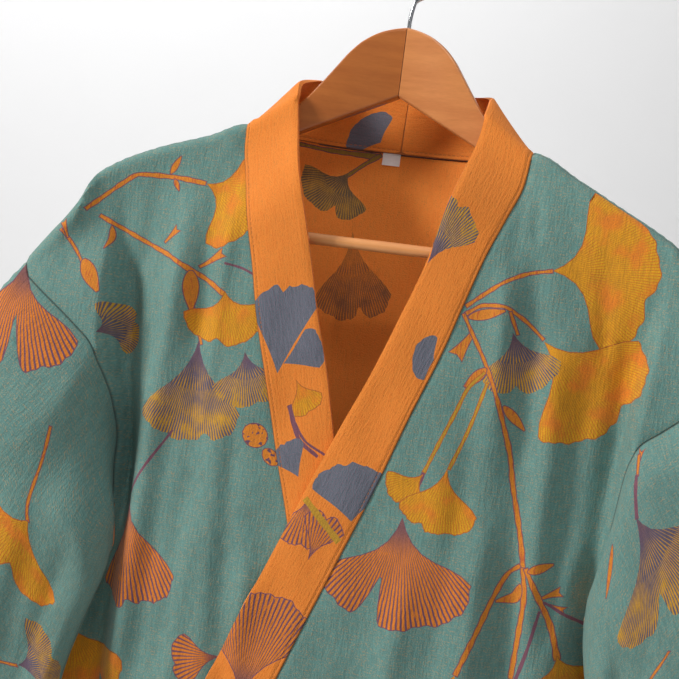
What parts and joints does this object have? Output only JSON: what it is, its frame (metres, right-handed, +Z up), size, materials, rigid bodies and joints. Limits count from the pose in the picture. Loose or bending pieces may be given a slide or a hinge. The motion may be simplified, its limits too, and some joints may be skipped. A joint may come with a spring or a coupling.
{
  "type": "kimono robe on a wooden hanger",
  "caption": "Knee-length woven kimono robe with a contrast neck band and wide sleeves, hanging wrapped on a contoured wooden hanger.",
  "frame": {"origin": "the hook's seat: the inside top of the hook's bend, where a rail carries it", "axes": "+Z up, the front of the robe faces -Y, +X is the wearer's left side"},
  "size_m": [0.7782, 0.1577, 1.3044],
  "materials": {
    "robe_cloth": "soft woven gauze, teal with a leaf pattern, orange on the reverse",
    "band_cloth": "soft woven gauze, orange reverse face, stitched at the seam",
    "label_cloth": "blank white satin tag",
    "arm_wood": "satin varnish",
    "bar_wood": "satin varnish",
    "hook_chrome": "polished"
  },
  "bodies": {
    "root": {"back": "robe_cloth", "front_left": "robe_cloth", "front_right": "robe_cloth", "band_left": "band_cloth", "band_right": "band_cloth", "sleeve_left": "robe_cloth", "sleeve_right": "robe_cloth", "size_label": "label_cloth", "hanger_left": "arm_wood", "hanger_right": "arm_wood", "hanger_bar": "bar_wood", "hanger_hook": "hook_chrome"}
  },
  "joints": []
}
